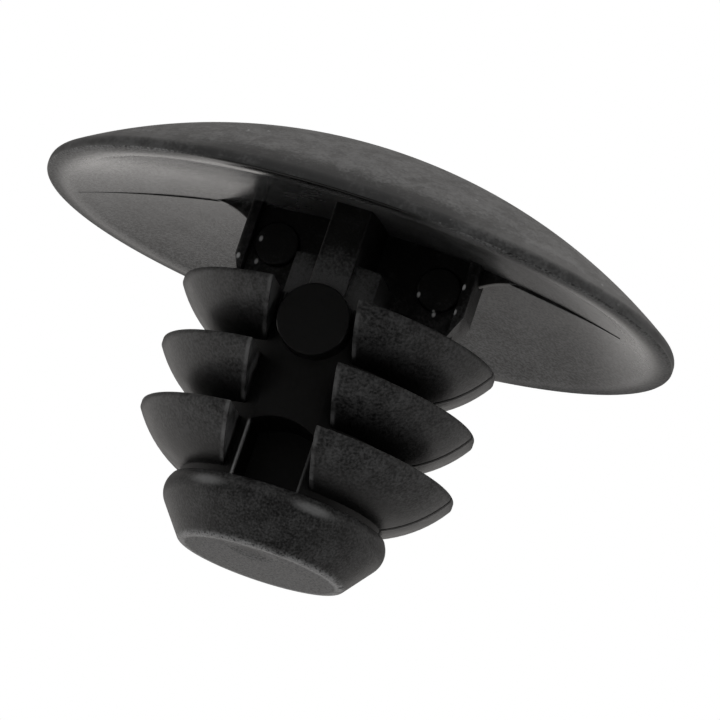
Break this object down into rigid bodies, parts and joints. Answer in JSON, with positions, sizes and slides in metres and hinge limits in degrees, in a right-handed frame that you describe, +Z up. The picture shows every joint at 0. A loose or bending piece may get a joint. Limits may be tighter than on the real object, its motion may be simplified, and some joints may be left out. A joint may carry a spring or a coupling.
{
  "type": "plastic hole plug",
  "caption": "Black push-in hole plug, one moulding: shallow domed head over a shank with three rows of springy half-moon barbs and a button tip.",
  "frame": {"origin": "on the axis of the shank, in the plane of the flat ring of the head that seats on the panel", "axes": "+Z up through the dome, with the shank along -Z; X along the parting plane of the mould; -Y the front, where the ejector's boss is"},
  "size_m": [0.025, 0.025, 0.0163],
  "materials": {
    "black_nylon": "moulded black nylon: fine leathery grain on the dome, smooth satin dish, barbs and tip"
  },
  "bodies": {
    "root": {"hole_plug": "black_nylon"}
  },
  "joints": []
}
